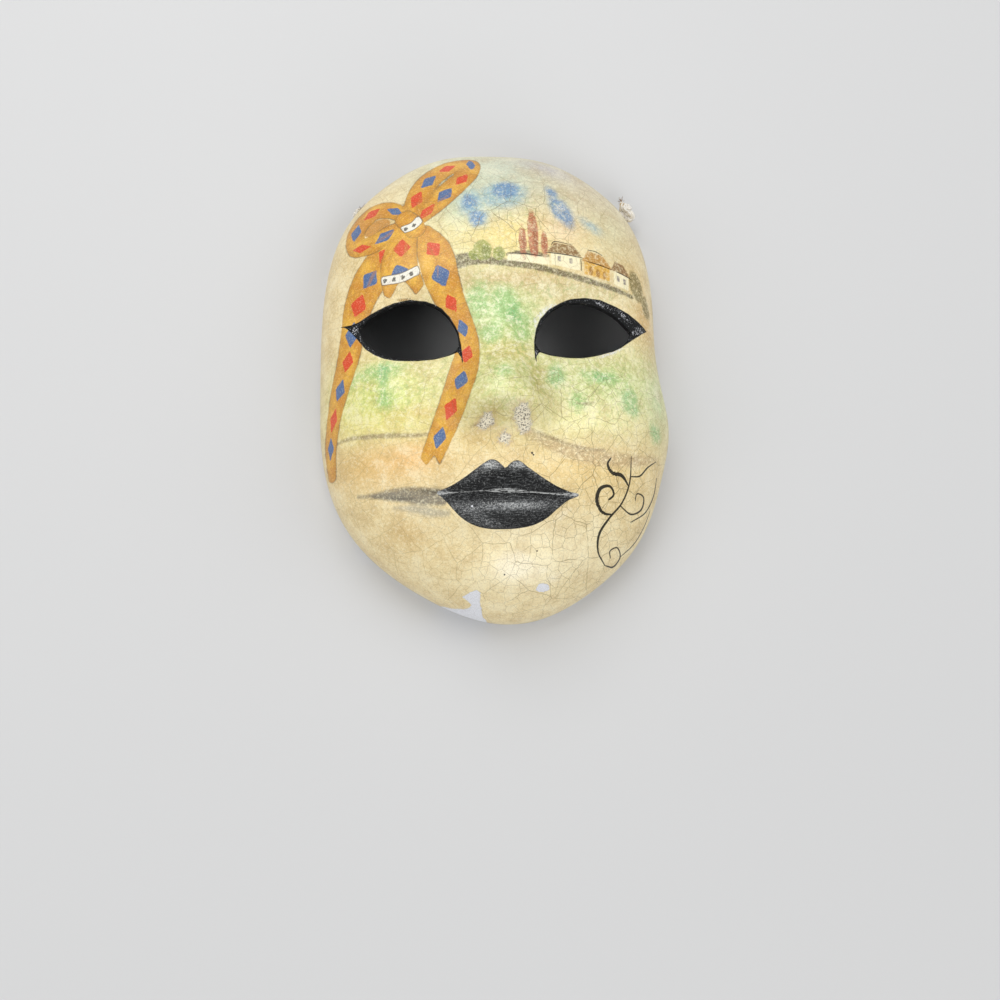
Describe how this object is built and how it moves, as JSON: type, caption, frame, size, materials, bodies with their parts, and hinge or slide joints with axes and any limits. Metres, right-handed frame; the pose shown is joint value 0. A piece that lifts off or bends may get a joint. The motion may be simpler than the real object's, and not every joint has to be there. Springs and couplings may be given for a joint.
{
  "type": "wall mask",
  "caption": "Full-face decorative mask: a domed painted paper shell with open almond eyes, a small nose, dark lips and a cord for hanging",
  "frame": {"origin": "centre of the footprint, on the plane of the rim that the mask lies on, under the middle of its width and length", "axes": "+X to the viewer's right across the face, +Y from the chin to the forehead, +Z out of the face, up from the surface it lies on"},
  "size_m": [0.1458, 0.2, 0.0604],
  "materials": {
    "painted_shell": "moulded paper with white ground, hand painted in cream, ochre, green and blue, under fine crackled satin varnish; chipped to the white ground in places",
    "twisted_cord": "soft twisted white cord with a thin gold thread"
  },
  "bodies": {
    "root": {"mask_shell": "painted_shell", "hanging_cord": "twisted_cord", "cord_knot_right": "twisted_cord", "cord_knot_left": "twisted_cord"}
  },
  "joints": []
}
